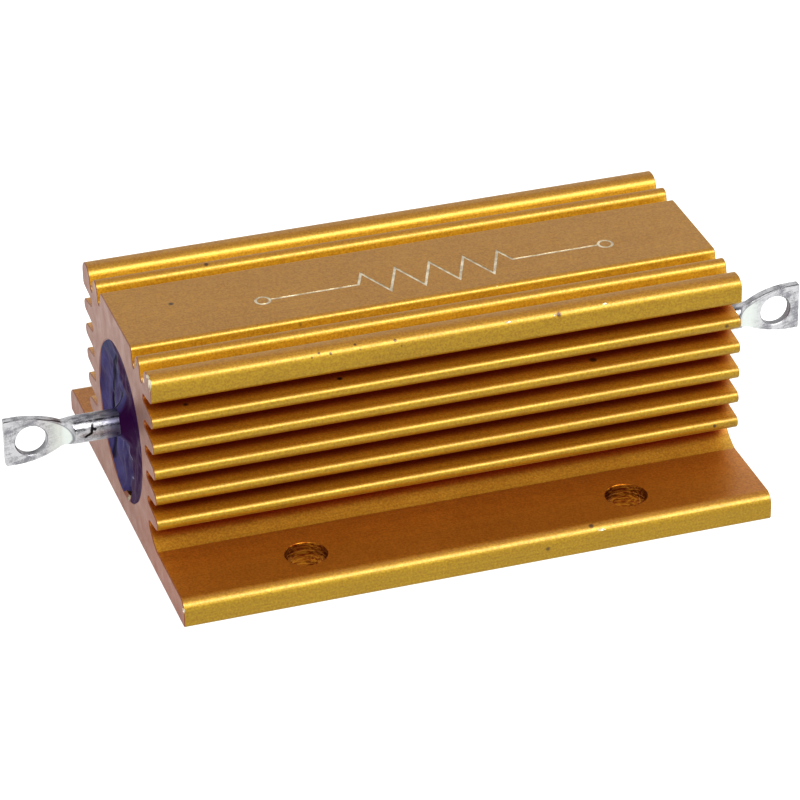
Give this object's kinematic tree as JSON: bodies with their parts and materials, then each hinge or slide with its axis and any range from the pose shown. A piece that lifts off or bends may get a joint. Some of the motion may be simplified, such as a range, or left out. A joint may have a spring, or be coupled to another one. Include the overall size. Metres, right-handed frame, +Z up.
{
  "type": "aluminium housed power resistor",
  "caption": "Finned aluminium housing with a flanged base, a sealed wire-wound core inside and a flattened solder lug at each end.",
  "frame": {"origin": "centre of the mounting face, midway between the two lugs and the two flange edges, on the plane that the base rests on", "axes": "+X along the bore and the terminals, +Y across the flanges, +Z up from the mounting face"},
  "size_m": [0.0886, 0.047, 0.0236],
  "materials": {
    "anodised_aluminium": "gold anodised, satin, with fine lines along the extrusion",
    "ceramic": "matte fired ceramic",
    "resistance_wire": "drawn wire",
    "cap_steel": "pressed and plated",
    "filling": "matte moulded compound",
    "blue_seal": "dark blue sealing compound, satin and slightly lumpy",
    "tinned_steel": "tinned, satin, with fine scratches"
  },
  "bodies": {
    "root": {"housing": "anodised_aluminium", "ceramic_core": "ceramic", "resistance_winding": "resistance_wire", "end_cap_left": "cap_steel", "end_cap_right": "cap_steel", "moulded_filling": "filling", "end_seal_left": "blue_seal", "end_seal_right": "blue_seal", "terminal_left": "tinned_steel", "terminal_right": "tinned_steel"}
  },
  "joints": []
}
